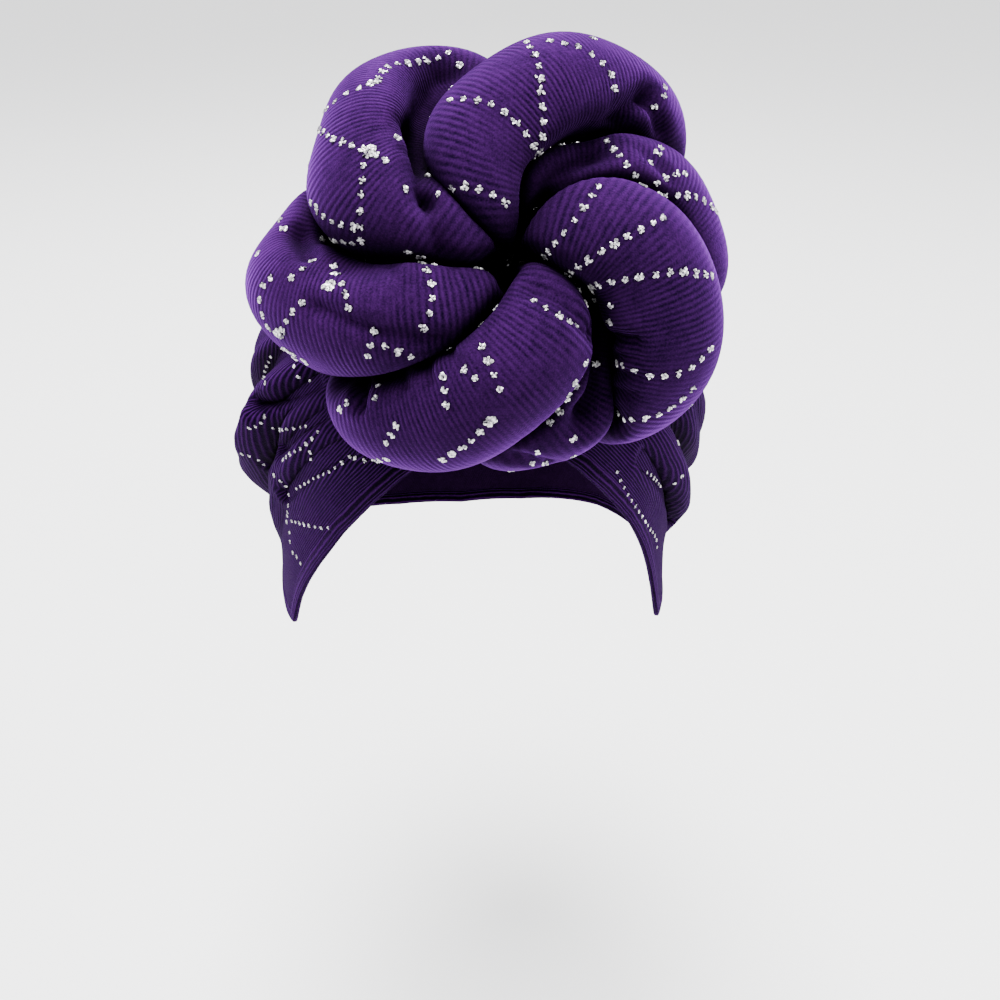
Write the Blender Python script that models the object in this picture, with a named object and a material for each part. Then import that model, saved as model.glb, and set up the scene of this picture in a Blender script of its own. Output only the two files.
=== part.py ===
"""A ready-tied velvet turban, as worn: a fitted cap of draped cloth with a turned hem round its whole rim,
and a twisted knot of two stuffed rolls sewn on its front. The head that holds it is left out.

The frame is in metres. The origin is the crown of the head, where it touches the inside of the cap.
+Z is up, -Y is the side of the face, and +X is the wearer's left.
"""

import math

import bmesh
import bpy
import numpy as np
from mathutils import Matrix, Vector

# The head inside the cap, measured from the crown's axis and from the crown down.
HEAD_HALF_WIDTH = 0.0770
HEAD_FRONT = 0.0950
HEAD_BACK = 0.0980
CROWN_RISE = 0.0860
HEAD_ROUNDNESS = 2.15
SIDE_FLARE = 0.025
NAPE_TAPER = 0.30

# The cap: its cloth, its depth from the crown to the rim at the ears, and the point that its folds spread from.
CAP_DEPTH = 0.168
CLOTH = 0.0020
DRAPE_CENTRE_DEPTH = 0.148
DRAPE_CENTRE_FORWARD = 0.012
FOLD_RISE = 0.0150

# The turned hem, a thicker strip that carries on from the cloth's edge.
HEM_WIDTH = 0.0045
HEM_THICKNESS = 0.0024
HEM_ROUNDING = 0.0007

# The knot: where its axis leaves the head, its reach from that axis, and the rolls that it is twisted from.
KNOT_SEAT = 43.0
KNOT_TILT = 34.0
KNOT_SIDE = 0.0060
KNOT_LIFT = 0.0300
KNOT_REACH = 0.0785
ROLL_RADIUS = 0.0206
KNOT_EYE = 0.0160
TWIST_DEPTH = 0.0140
KNOT_DISH = 0.0130
KNOT_SEATING = 0.50
CREASE_ROUNDING = 0.0030
BEND_SHARE = 0.80
TOP_SWEEP = 14.0

# Clearances between pieces that touch on the real turban.
PIECE_GAP = 0.0003
ROLL_GAP = 0.0008

# How finely the surfaces are divided.
CAP_COLUMNS = 78
CAP_ROWS = 16
LOBE_SECTIONS = 20
FINENESS = 3
SMOOTHINGS = 1
LINE_SMOOTHINGS = 14
ROLL_SIDES = 18

VELVET = (0.075, 0.020, 0.170, 1.0)
HEM_VELVET = (0.060, 0.016, 0.140, 1.0)

# The face edge from the top of the face opening down to the corner before the ear, and the bottom rim from there
# to the nape. Columns: degrees round the crown's axis from the face, depth as a share of CAP_DEPTH.
FACE_EDGE = (
    (0.0, 0.270),
    (8.0, 0.330),
    (20.0, 0.433),
    (27.0, 0.507),
    (36.0, 0.611),
    (45.0, 0.730),
    (50.5, 0.810),
    (55.5, 0.890),
    (60.5, 0.985),
)
BOTTOM_RIM = (
    (60.5, 0.985),
    (69.0, 1.000),
    (95.0, 0.985),
    (125.0, 0.990),
    (155.0, 1.020),
    (180.0, 1.030),
)

# The draped folds. Columns: side (1 is the wearer's left), degrees about the drape's pole from straight down,
# height as a share of FOLD_RISE, half width in degrees, and the shares of the way from pole to rim between
# which the fold rises and dies away.
FOLDS = (
    (-1, 94.0, 0.45, 6.5, 0.15, 0.92),
    (-1, 108.0, 1.05, 8.0, 0.15, 0.94),
    (-1, 126.0, 0.85, 9.5, 0.15, 0.88),
    (-1, 145.0, 0.75, 9.5, 0.20, 0.84),
    (-1, 164.0, 0.60, 9.5, 0.25, 0.82),
    (1, 92.0, 0.75, 7.0, 0.15, 0.94),
    (1, 107.5, 1.00, 8.0, 0.15, 0.92),
    (1, 125.5, 0.90, 9.5, 0.18, 0.86),
    (1, 145.0, 0.70, 9.5, 0.20, 0.82),
    (1, 174.0, 0.55, 11.0, 0.28, 0.82),
)

# The knot's seven lobes, clockwise from its lower left as the face's side shows them. Columns: degrees of the lobe's
# outermost point, its reach as a share of KNOT_REACH, the height of its crest as a share of TWIST_DEPTH, its
# fullness as a share of ROLL_RADIUS, and its sweep about the eye as a share of TOP_SWEEP.
LOBES = (
    (-131.0, 0.95, 1.10, 1.02, 1.0),
    (-186.0, 1.07, 1.05, 0.98, 0.3),
    (-237.0, 1.09, 1.00, 1.02, 0.0),
    (-305.0, 1.04, 1.15, 1.06, 1.0),
    (-360.0, 0.94, 0.65, 0.94, 1.0),
    (-400.0, 0.93, 1.25, 1.08, 1.0),
    (-444.0, 0.89, 0.10, 0.84, 1.0),
)
FULL_TURN = 360.0
FOLD_START_SHARE = 0.40
FOLD_END_SHARE = 0.26
HEAD_SPAN = 2.0 * (HEAD_FRONT + HEAD_BACK)
SLOPE_STEP = 1e-4 * HEAD_HALF_WIDTH


def clear_scene():
    """Removes whatever the scene holds before the turban is built."""
    for old in list(bpy.data.objects):
        bpy.data.objects.remove(old, do_unlink=True)


def unit(vectors):
    """The vectors at length one."""
    return vectors / np.linalg.norm(vectors, axis=-1, keepdims=True)


def soft_step(share):
    """A smooth rise from 0 at 0 to 1 at 1."""
    share = np.clip(share, 0.0, 1.0)
    return share * share * (3.0 - 2.0 * share)


def soft_min(first, second, rounding):
    """The smaller of two lengths, with the corner between them rounded."""
    blend = np.clip(0.5 + 0.5 * (second - first) / rounding, 0.0, 1.0)
    return second + (first - second) * blend - rounding * blend * (1.0 - blend)


def head_norm(points):
    """1 on the head's surface, less inside it and more outside."""
    rise = (points[..., 2] + CROWN_RISE) / CROWN_RISE
    drop = np.clip(-rise * CROWN_RISE / (CAP_DEPTH - CROWN_RISE), 0.0, 2.0)
    sides = HEAD_HALF_WIDTH * (1.0 + SIDE_FLARE * drop**2)
    back = HEAD_BACK * (1.0 - NAPE_TAPER * drop**2)
    front = HEAD_FRONT * (1.0 + SIDE_FLARE * drop**2)
    length = np.where(points[..., 1] > 0.0, back, front)
    total = np.abs(points[..., 0] / sides) ** HEAD_ROUNDNESS
    total += np.abs(points[..., 1] / length) ** HEAD_ROUNDNESS
    total += np.clip(rise, 0.0, None) ** HEAD_ROUNDNESS
    return total ** (1.0 / HEAD_ROUNDNESS)


def head_slope(points):
    """The gradient of head_norm, by differences."""
    steps = np.eye(3) * SLOPE_STEP
    rises = [head_norm(points + step) - head_norm(points - step) for step in steps]
    return np.stack(rises, axis=-1) / (2.0 * SLOPE_STEP)


def head_distance(points):
    """How far the points stand off the head's surface."""
    return (head_norm(points) - 1.0) / np.linalg.norm(head_slope(points), axis=-1)


def ray_length(start, directions, is_inside, longest):
    """How far each ray runs from start, up to longest, before it leaves the space that is_inside names."""
    low = np.zeros(directions.shape[:-1])
    high = np.full(directions.shape[:-1], longest)
    for _ in range(26):
        middle = 0.5 * (low + high)
        inside = is_inside(start + directions * middle[..., None])
        low = np.where(inside, middle, low)
        high = np.where(inside, high, middle)
    return low


def on_head(directions):
    """The head's surface along rays from the drape's centre."""
    reach = ray_length(DRAPE_CENTRE, directions, lambda p: head_norm(p) < 1.0, HEAD_SPAN)
    return DRAPE_CENTRE + directions * reach[..., None]


def on_head_at(azimuths, depths):
    """The head's surface at degrees round the crown's axis from the face, and at a depth below the crown."""
    turn = np.radians(azimuths)
    sideways = np.stack([np.sin(turn), -np.cos(turn), np.zeros_like(turn)], axis=-1)
    start = np.stack([np.zeros_like(depths), np.zeros_like(depths), -depths], axis=-1)
    reach = ray_length(start, sideways, lambda p: head_norm(p) < 1.0, HEAD_SPAN)
    return start + sideways * reach[..., None]


def azimuth_of(points):
    """Degrees round the crown's axis from the face, 0 to 180 on either side."""
    return np.degrees(np.arctan2(np.abs(points[..., 0]), -points[..., 1]))


DRAPE_CENTRE = np.array([0.0, -DRAPE_CENTRE_FORWARD, -DRAPE_CENTRE_DEPTH])
EDGE_AZIMUTHS, EDGE_DEPTHS = np.array(FACE_EDGE).T
RIM_AZIMUTHS, RIM_DEPTHS = np.array(BOTTOM_RIM).T
FACE_TOP = on_head_at(np.zeros(1), np.array([EDGE_DEPTHS[0] * CAP_DEPTH]))[0]
POLE = unit(FACE_TOP - DRAPE_CENTRE)
POLE_DOWN = unit(np.array([0.0, -POLE[2], POLE[1]]))


def drape_direction(spread, swing, side):
    """The ray from the drape's centre that lies spread degrees from the pole, swing degrees from straight down."""
    spread, swing = np.radians(spread), np.radians(swing)
    across = np.cos(swing)[..., None] * POLE_DOWN + (side * np.sin(swing))[..., None] * np.array([1.0, 0.0, 0.0])
    return np.cos(spread)[..., None] * POLE + np.sin(spread)[..., None] * across


def drape_angles(points):
    """(spread, swing) of points as degrees, the reverse of drape_direction."""
    ray = unit(points - DRAPE_CENTRE)
    spread = np.degrees(np.arccos(np.clip(ray @ POLE, -1.0, 1.0)))
    swing = np.degrees(np.arctan2(np.abs(ray[..., 0]), ray @ POLE_DOWN))
    return spread, swing


def face_edge_swing(spread):
    """The swing of the face edge at each spread from the pole."""
    share = np.linspace(0.02, 1.0, 60)
    azimuths = share * EDGE_AZIMUTHS[-1]
    depths = np.interp(azimuths, EDGE_AZIMUTHS, EDGE_DEPTHS) * CAP_DEPTH
    spreads, swings = drape_angles(on_head_at(azimuths, depths))
    return np.interp(spread, spreads, swings)


def rim_spread(swing):
    """How far from the pole each drape line runs before it meets the bottom rim."""
    low, high = np.full(swing.shape, 60.0), np.full(swing.shape, 175.0)
    for _ in range(22):
        middle = 0.5 * (low + high)
        points = on_head(drape_direction(middle, swing, np.ones_like(swing)))
        rim = np.interp(azimuth_of(points), RIM_AZIMUTHS, RIM_DEPTHS) * CAP_DEPTH
        above = -points[..., 2] < rim
        low = np.where(above, middle, low)
        high = np.where(above, high, middle)
    return low


RIM_SWINGS = np.linspace(40.0, 180.0, 71)
RIM_SPREADS = rim_spread(RIM_SWINGS)


def fold_height(spread, swing, side):
    """How far the draped cloth stands off the head."""
    share = spread / np.interp(swing, RIM_SWINGS, RIM_SPREADS)
    height = np.zeros_like(spread)
    for fold_side, centre, rise, half_width, start, end in FOLDS:
        offset = np.where(side == fold_side, swing, FULL_TURN - swing) - centre
        ridge = np.cos(0.5 * math.pi * np.clip(offset / half_width, -1.0, 1.0)) ** 1.3
        along = soft_step((share - start) / FOLD_START_SHARE) * soft_step((end - share) / FOLD_END_SHARE)
        height = np.maximum(height, rise * FOLD_RISE * ridge * along)
    return height


def cap_grid(columns, rows):
    """The inside of the cap's cloth: one row of points for each drape line, from the pole to the bottom rim."""
    across = np.linspace(-1.0, 1.0, columns + 1)[:, None]
    side = np.where(across < 0.0, -1.0, 1.0) * np.ones((1, rows))
    share = (np.arange(1, rows + 1) / rows)[None, :] * np.ones_like(across)
    corner_spread = drape_angles(on_head_at(RIM_AZIMUTHS[:1], RIM_DEPTHS[:1] * CAP_DEPTH))[0][0]
    away = 1.0 - np.abs(across)
    edge = face_edge_swing(share * corner_spread)
    edge_end = face_edge_swing(np.array([corner_spread]))[0]
    swing = edge + away * (180.0 - edge)
    reach = rim_spread(edge_end + away[:, 0] * (180.0 - edge_end))[:, None]
    spread = share * reach
    directions = drape_direction(spread, swing, side)
    points = on_head(directions)
    return points + unit(head_slope(points)) * fold_height(spread, swing, side)[..., None]


def cap_clearance(points):
    """How far points stand off the outside of the cap and of the hem's thicker strip."""
    spread, swing = drape_angles(points)
    side = np.where(points[..., 0] < 0.0, -1.0, 1.0)
    return head_distance(points) - fold_height(spread, swing, side) - HEM_THICKNESS


def new_object(name, mesh, colour):
    """An object of this name for the mesh, in its own plain material."""
    made = bpy.data.objects.new(name, mesh)
    bpy.context.scene.collection.objects.link(made)
    material = bpy.data.materials.new(name + "_velvet")
    material.use_nodes = True
    shader = material.node_tree.nodes["Principled BSDF"]
    shader.inputs["Base Color"].default_value = colour
    shader.inputs["Roughness"].default_value = 0.85
    shader.inputs["Metallic"].default_value = 0.0
    mesh.materials.append(material)
    mesh.shade_smooth()
    mesh.set_sharp_from_angle(angle=math.radians(50.0))
    return made


def build_cap():
    """The cap's cloth, a sheet fanned out from the top of the face opening and thickened outwards."""
    grid = cap_grid(CAP_COLUMNS, CAP_ROWS)
    shape = bmesh.new()
    pole = shape.verts.new(FACE_TOP)
    lines = [[shape.verts.new(point) for point in line] for line in grid]
    for line, after in zip(lines, lines[1:]):
        shape.faces.new((pole, line[0], after[0]))
        for row in range(CAP_ROWS - 1):
            shape.faces.new((line[row], line[row + 1], after[row + 1], after[row]))
    bmesh.ops.recalc_face_normals(shape, faces=shape.faces)
    if sum(face.normal.dot(face.calc_center_median() - Vector(DRAPE_CENTRE)) for face in shape.faces) < 0.0:
        bmesh.ops.reverse_faces(shape, faces=shape.faces)
    mesh = bpy.data.meshes.new("cap")
    shape.to_mesh(mesh)
    shape.free()
    cap = new_object("cap", mesh, VELVET)
    thicken = cap.modifiers.new("cloth", "SOLIDIFY")
    thicken.thickness = CLOTH
    thicken.offset = 1.0
    thicken.use_even_offset = False
    return grid


def ring_mesh(name, rings, closed):
    """A tube skinned over rings of points, closed on itself or capped at its two ends."""
    shape = bmesh.new()
    loops = [[shape.verts.new(point) for point in ring] for ring in rings]
    pairs = list(zip(loops, loops[1:]))
    if closed:
        pairs.append((loops[-1], loops[0]))
    for loop, after in pairs:
        for i, vertex in enumerate(loop):
            j = (i + 1) % len(loop)
            shape.faces.new((vertex, loop[j], after[j], after[i]))
    if not closed:
        shape.faces.new(loops[0])
        shape.faces.new(loops[-1])
    bmesh.ops.recalc_face_normals(shape, faces=shape.faces)
    mesh = bpy.data.meshes.new(name)
    shape.to_mesh(mesh)
    shape.free()
    return mesh


def rim_loop(grid):
    """The cap's rim as one closed loop of points: down one face edge, round the nape and up the other."""
    return np.concatenate([[FACE_TOP], grid[0], grid[1:-1, -1], grid[-1][::-1]])


def rounded_box(width, height, rounding):
    """The outline of a box from (0, 0) to (width, height), its corners cut to a rounding."""
    return [
        (rounding, 0.0),
        (width - rounding, 0.0),
        (width, rounding),
        (width, height - rounding),
        (width - rounding, height),
        (rounding, height),
        (0.0, height - rounding),
        (0.0, rounding),
    ]


def build_hem(grid):
    """The turned hem: a rounded strip along the rim, flush with the inside of the cloth and proud of its outside."""
    loop = rim_loop(grid)
    outward = unit(head_slope(loop))
    tangent = unit(np.roll(loop, -1, axis=0) - np.roll(loop, 1, axis=0))
    onward = unit(np.cross(outward, tangent))
    profile = rounded_box(HEM_WIDTH, HEM_THICKNESS, HEM_ROUNDING)
    rings = [
        [point + on * (PIECE_GAP + across) + out * over for across, over in profile]
        for point, on, out in zip(loop, onward, outward)
    ]
    new_object("hem", ring_mesh("hem", rings, closed=True), HEM_VELVET)


def knot_frame():
    """The knot's centre, and its axes to the right, up its face and out of it."""
    seat, tilt = math.radians(KNOT_SEAT), math.radians(KNOT_TILT)
    toward = np.array([0.0, -math.cos(seat), math.sin(seat)])
    out = np.array([0.0, -math.cos(tilt), math.sin(tilt)])
    up = np.array([0.0, math.sin(tilt), math.cos(tilt)])
    start = np.array([0.0, 0.0, -CROWN_RISE])
    reach = ray_length(start, toward[None, :], lambda p: head_norm(p) < 1.0, HEAD_SPAN)[0]
    centre = start + toward * (reach + CLOTH + KNOT_LIFT) + np.array([KNOT_SIDE, 0.0, 0.0])
    return centre, np.array([1.0, 0.0, 0.0]), up, out


def round_value(values, place, growth=0.0):
    """A smooth value at place, in lobes, through one value per lobe of a closed round that grows each time."""
    count = len(values)
    base = np.floor(place).astype(int)
    share = place - base
    near = [values[(base + k) % count] + growth * ((base + k) // count) for k in (-1, 0, 1, 2)]
    slope_in, slope_out = 0.5 * (near[2] - near[0]), 0.5 * (near[3] - near[1])
    square, cube = share**2, share**3
    return (
        (2 * cube - 3 * square + 1) * near[1]
        + (cube - 2 * square + share) * slope_in
        + (3 * square - 2 * cube) * near[2]
        + (cube - square) * slope_out
    )


def roll_line(place):
    """The rolls' centre line and fullness at places counted in lobes. It goes round twice, lobe after next lobe."""
    table = np.array([LOBES[(2 * step) % len(LOBES)] for step in range(len(LOBES))])
    turns = np.array([(2 * step) // len(LOBES) for step in range(len(LOBES))])
    angle = np.radians(round_value(table[:, 0] - FULL_TURN * turns, place, growth=-2.0 * FULL_TURN))
    reach = round_value(table[:, 1], place) * KNOT_REACH
    crest = round_value(table[:, 2], place + 0.25)
    full = round_value(table[:, 3], place + 0.25) * ROLL_RADIUS
    sweep = np.radians(round_value(table[:, 4], place + 0.25) * TOP_SWEEP)
    phase = 2.0 * math.pi * place
    angle = angle - sweep * (np.cos(phase) - 1.0)
    spread = 0.5 * (reach - ROLL_RADIUS - KNOT_EYE)
    from_axis = KNOT_EYE + spread * (1.0 + np.cos(phase))
    lift = -np.sin(phase) * TWIST_DEPTH
    lift = np.where(lift > 0.0, lift * crest, lift)
    lift = lift - KNOT_DISH * (from_axis / (KNOT_REACH - ROLL_RADIUS)) ** 2
    flat = np.stack([np.cos(angle), np.sin(angle)], axis=-1)
    centre, right, up, out = knot_frame()
    in_plane = flat[:, :1] * right + flat[:, 1:] * up
    points = centre + in_plane * from_axis[:, None] + out * lift[:, None]
    sunk = KNOT_SEATING * ROLL_RADIUS - cap_clearance(points)
    points = points + out * np.clip(sunk, 0.0, None)[:, None]
    for _ in range(LINE_SMOOTHINGS):
        points = 0.5 * points + 0.25 * (np.roll(points, 1, 0) + np.roll(points, -1, 0))
    away = in_plane * np.cos(phase)[:, None] - out * np.sin(phase)[:, None]
    return points, away, full


def roll_rings():
    """Rings of points round the rolls' line. Where two turns meet, or a roll meets the cap, it is pressed flat."""
    sections, sides = FINENESS * LOBE_SECTIONS * len(LOBES), FINENESS * ROLL_SIDES
    points, away, full = roll_line(np.arange(sections) / sections * len(LOBES))
    tangent = unit(np.roll(points, -1, axis=0) - np.roll(points, 1, axis=0))
    first = unit(away - tangent * np.sum(away * tangent, axis=1, keepdims=True))
    second = np.cross(tangent, first)
    turn = 2.0 * math.pi * np.arange(sides) / sides
    rays = np.cos(turn)[None, :, None] * first[:, None] + np.sin(turn)[None, :, None] * second[:, None]
    to_others = points[None, :, :] - points[:, None, :]
    apart = np.linalg.norm(to_others, axis=2)
    far = soft_step(apart / ROLL_RADIUS)
    room = apart * (apart * full[:, None] / (full[:, None] + full[None, :]) - 0.5 * ROLL_GAP * far)
    room = room * (BEND_SHARE + (1.0 - BEND_SHARE) * far)
    facing = np.einsum("isk,ijk->isj", rays, to_others)
    limit = np.where(facing > 1e-6, room[:, None, :] / np.maximum(facing, 1e-6), 1.0).min(axis=2)
    radius = soft_min(limit, full[:, None] * np.ones_like(limit), CREASE_ROUNDING)
    starts = points[:, None, :] * np.ones_like(rays)
    to_cap = ray_length(starts, rays, lambda p: cap_clearance(p) > ROLL_GAP, 2.0 * ROLL_RADIUS)
    radius = np.minimum(radius, to_cap)
    rings = starts + rays * radius[..., None]
    for axis in (0, 1) * SMOOTHINGS:
        rings = 0.5 * rings + 0.25 * (np.roll(rings, 1, axis) + np.roll(rings, -1, axis))
    return rings[::FINENESS, ::FINENESS]


def build_rolls():
    """The two stuffed rolls, each sewn end to end to the other under the knot."""
    rings = roll_rings()
    count = len(rings)
    first_join = LOBE_SECTIONS // 4
    second_join = 4 * LOBE_SECTIONS + first_join
    for name, start, end in (
        ("knot_roll_long", first_join, second_join),
        ("knot_roll_short", second_join, count + first_join),
    ):
        part = rings[np.arange(start, end + 1) % count]
        for tip, index, inward in ((0, start, 1.0), (-1, end, -1.0)):
            middle = part[tip].mean(axis=0)
            onward = unit(rings[(index + 1) % count].mean(axis=0) - rings[(index - 1) % count].mean(axis=0))
            off_plane = (part[tip] - middle) @ onward
            part[tip] += onward * (0.5 * PIECE_GAP * inward - off_plane)[:, None]
        new_object(name, ring_mesh(name, part, closed=False), VELVET)


clear_scene()
cap_points = build_cap()
build_hem(cap_points)
build_rolls()
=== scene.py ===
"""The looks of the turban headwrap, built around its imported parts.

The cap, its turned hem and the knot's two stuffed rolls are made again as fine cloth, ribbed like the
velvet in the photograph, with dotted arcs of glitter over it. Lengths are in metres, in the row's frame.
"""

import math

import bpy
import numpy as np
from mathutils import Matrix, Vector
from mathutils.bvhtree import BVHTree


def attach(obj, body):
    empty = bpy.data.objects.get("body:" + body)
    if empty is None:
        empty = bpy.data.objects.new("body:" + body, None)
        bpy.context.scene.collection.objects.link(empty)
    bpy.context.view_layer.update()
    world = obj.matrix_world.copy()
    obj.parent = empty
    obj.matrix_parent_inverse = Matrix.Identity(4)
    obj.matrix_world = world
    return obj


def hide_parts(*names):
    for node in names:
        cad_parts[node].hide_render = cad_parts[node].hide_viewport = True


# The head inside the cap, as in the part's source.
HEAD_HALF_WIDTH = 0.0770
HEAD_FRONT = 0.0950
HEAD_BACK = 0.0980
CROWN_RISE = 0.0860
HEAD_ROUNDNESS = 2.15
SIDE_FLARE = 0.025
NAPE_TAPER = 0.30
HEAD_SPAN = 2.0 * (HEAD_FRONT + HEAD_BACK)

# The cap and its folds, as in the part's source, with six side folds nearer to the photograph's outline.
# Columns of the face's edge and the bottom rim: degrees from the face, depth as a share of CAP_DEPTH.
CAP_DEPTH = 0.168
DRAPE_CENTRE = np.array([0.0, -0.012, -0.148])
FOLD_RISE = 0.0150
FACE_EDGE = (
    (0, 0.270), (8, 0.330), (20, 0.433), (27, 0.507), (36, 0.611),
    (45, 0.730), (50.5, 0.810), (55.5, 0.890), (60.5, 0.985),
)
BOTTOM_RIM = ((60.5, 0.985), (69, 1.0), (95, 0.985), (125, 0.990), (155, 1.020), (180, 1.030))
# The cap sits a little turned here: degrees that the face's edge leans at the rim, and how much shorter the
# point before the wearer's right ear is.
EDGE_LEAN, SHORTER_POINT = 2.4, 0.018
# Columns: side (1 is the wearer's left), degrees from straight down, height as a share of FOLD_RISE, half
# width in degrees, and where the fold starts and ends as shares of the way from the drape's pole to the rim.
FOLDS = (
    (-1, 94.0, 0.28, 6.0, 0.15, 0.92),
    (-1, 109.5, 1.05, 6.9, 0.15, 0.92),
    (-1, 126.0, 0.58, 8.0, 0.15, 0.88),
    (-1, 145.0, 0.75, 9.5, 0.20, 0.84),
    (-1, 164.0, 0.60, 9.5, 0.25, 0.82),
    (1, 90.5, 0.62, 7.0, 0.15, 0.94),
    (1, 108.0, 1.00, 10.2, 0.15, 0.94),
    (1, 129.0, 1.20, 8.6, 0.18, 0.86),
    (1, 145.0, 0.70, 9.5, 0.20, 0.82),
    (1, 174.0, 0.55, 11.0, 0.28, 0.82),
)
FOLD_START_SHARE, FOLD_END_SHARE, RIDGE_SHARPNESS = 0.40, 0.26, 1.3
WRINKLE_HEIGHT, FINE_WRINKLE_HEIGHT = 0.0011, 0.00045

# The knot, as in the part's source. Columns of LOBES, clockwise from the lower left: degrees of the lobe's
# outermost point, then its reach, crest, fullness and sweep as shares of KNOT_REACH, TWIST_DEPTH, ROLL_RADIUS
# and TOP_SWEEP.
KNOT_SEAT, KNOT_TILT = math.radians(43.0), math.radians(34.0)
KNOT_SIDE, KNOT_LIFT, KNOT_REACH, ROLL_RADIUS = 0.0060, 0.0300, 0.0785, 0.0206
KNOT_EYE, TWIST_DEPTH, KNOT_DISH, KNOT_SEATING = 0.0160, 0.0140, 0.0130, 0.50
BEND_SHARE, TOP_SWEEP = 0.80, math.radians(14.0)
LOBES = (
    (-131.0, 0.95, 1.10, 1.02, 1.0),
    (-186.0, 1.07, 1.05, 0.98, 0.3),
    (-237.0, 1.09, 1.00, 1.02, 0.0),
    (-305.0, 1.04, 1.15, 1.06, 1.0),
    (-360.0, 0.94, 0.65, 0.94, 1.0),
    (-400.0, 0.93, 1.25, 1.08, 1.0),
    (-444.0, 0.89, 0.10, 0.84, 1.0),
)
# The lobes' letters in that order, by which CREASES names them.
LOBE_LETTERS = "FGABCDE"
# Where the closed roll is parted into the long and the short one, in lobes along it.
ROLL_JOINS = (0.25, 4.25)
# The knot's outline, nearer to the photograph's here. Columns: degrees round the knot, growth as a share and
# turn in degrees. Both start at the knot's eye and are full OUTLINE_BLEND further out.
KNOT_OUTLINE = (
    (-160, 0.0, 0.0), (-125, -0.030, 0.0), (-95, -0.045, 0.0), (-60, -0.030, 0.0), (-30, -0.052, 0.0),
    (-12, -0.050, 0.0), (0, 0.0, 0.0), (20, 0.0, 0.0), (30, -0.018, -4.0), (45, -0.022, -3.0),
    (60, -0.010, -2.0), (78, -0.044, -4.0), (90, -0.022, -6.0), (105, 0.010, -6.5), (120, -0.030, -4.0),
    (133, -0.115, 0.0), (145, -0.005, 5.0), (155, 0.035, 7.0), (165, -0.060, 6.5), (175, -0.010, 6.5),
    (185, 0.025, 6.5), (192, 0.045, 6.0), (200, 0.0, 0.0),
)
OUTLINE_BLEND = 0.030

# How finely the cloth is built here, where the cap's rows start on their way from the pole, and its wall.
LOBE_SECTIONS, ROLL_SIDES, LINE_SMOOTHINGS = 96, 72, 36
CAP_COLUMNS, CAP_ROWS, FIRST_ROW_SHARE = 420, 130, 0.004
CLOTH = 0.0019

# How the rolls press on each other and on the cap, how thin they are in the knot's eye, and the unevenness of
# their stuffing and their gathers.
CONTACT_GAP, CREASE_ROUNDING, SEATING_LIFT = 0.0004, 0.0075, 0.0020
EYE_PINCH, LUMP_HEIGHT, PUCKER_DEPTH, DEEPEST_CREASE = 0.13, 0.0014, 0.0022, 0.0145
LUMP_WAVES, PUCKERS_PER_LOBE = 12, 9

# The turned hem: its section's width and thickness, how boxy it is, and how far it starts over the cap's rim
# and sinks into its cloth.
HEM_WIDTH, HEM_THICKNESS, HEM_SQUARENESS = 0.0060, 0.0026, 0.62
HEM_OVERLAP, HEM_SINK, HEM_SIDES = 0.0014, 0.0003, 24

# The photograph's camera.
CAMERA_AZIMUTH, CAMERA_ELEVATION = math.radians(-5.0), math.radians(28.0)
CAMERA_DISTANCE, CAMERA_FOCUS = 0.45, 1251.0
CAMERA_TARGET = np.array([0.0, -0.06, -0.08])
PICTURE, PICTURE_X, PICTURE_Y = 1000.0, 483.0, 443.0
SENSOR_WIDTH = 36.0

# The spacing of the velvet's and the knit's ribs.
CAP_RIB_PITCH, ROLL_RIB_PITCH, HEM_RIB_PITCH, KNIT_RIB_PITCH = 0.00115, 0.00122, 0.00150, 0.0011

# The glitter: how far its dots are apart along an arc and how near two arcs' dots may come, their radii, how
# much smaller they are on the cap, and the corners of one chip.
DOT_PITCH, DOT_CLEARANCE = 0.0043, 0.0031
DOT_RADIUS, BIG_DOT_RADIUS, CAP_DOT_SHARE, CHIP_CORNERS = 0.00140, 0.0023, 0.62, 6

# A jump between two points of an arc that takes it to another lobe. A place counts as seen by the camera if
# its cloth faces away by less than this, with nothing in the line of sight that starts this far over it.
ARC_JUMP, FACING_AWAY, SIGHT_LIFT = 0.008, -0.15, 0.0040

# The arcs that the photograph doesn't show: how far they are apart, and the step between the points on one.
WEB_SPACING, WEB_STEP = 0.030, 0.0004

# The floor, and the lights. Columns of the lights: name, place, what it is turned to, power and size.
FLOOR_SIZE, FLOOR_PLACE = 12.0, (0.0, 2.0, -0.42)
AREA_LIGHTS = (
    ("key", (-0.10, 0.12, 1.5), (0.0, -0.05, -0.02), 36.0, 0.7),
    ("left", (-1.3, -0.3, 0.55), (0.0, -0.03, -0.05), 18.0, 0.8),
    ("right", (1.25, -0.35, 0.50), (0.0, -0.03, -0.05), 30.0, 0.8),
    ("rim", (-0.2, 0.95, 1.15), (0.0, -0.03, 0.0), 40.0, 0.7),
)
SUN_STRENGTH, SUN_ANGLE, SUN_WAY = 4.8, 0.6, (0.10, 0.10, -1.0)
SKY_COLOUR, SKY_STRENGTH = (0.95, 0.96, 1.0, 1.0), 0.42

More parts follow.
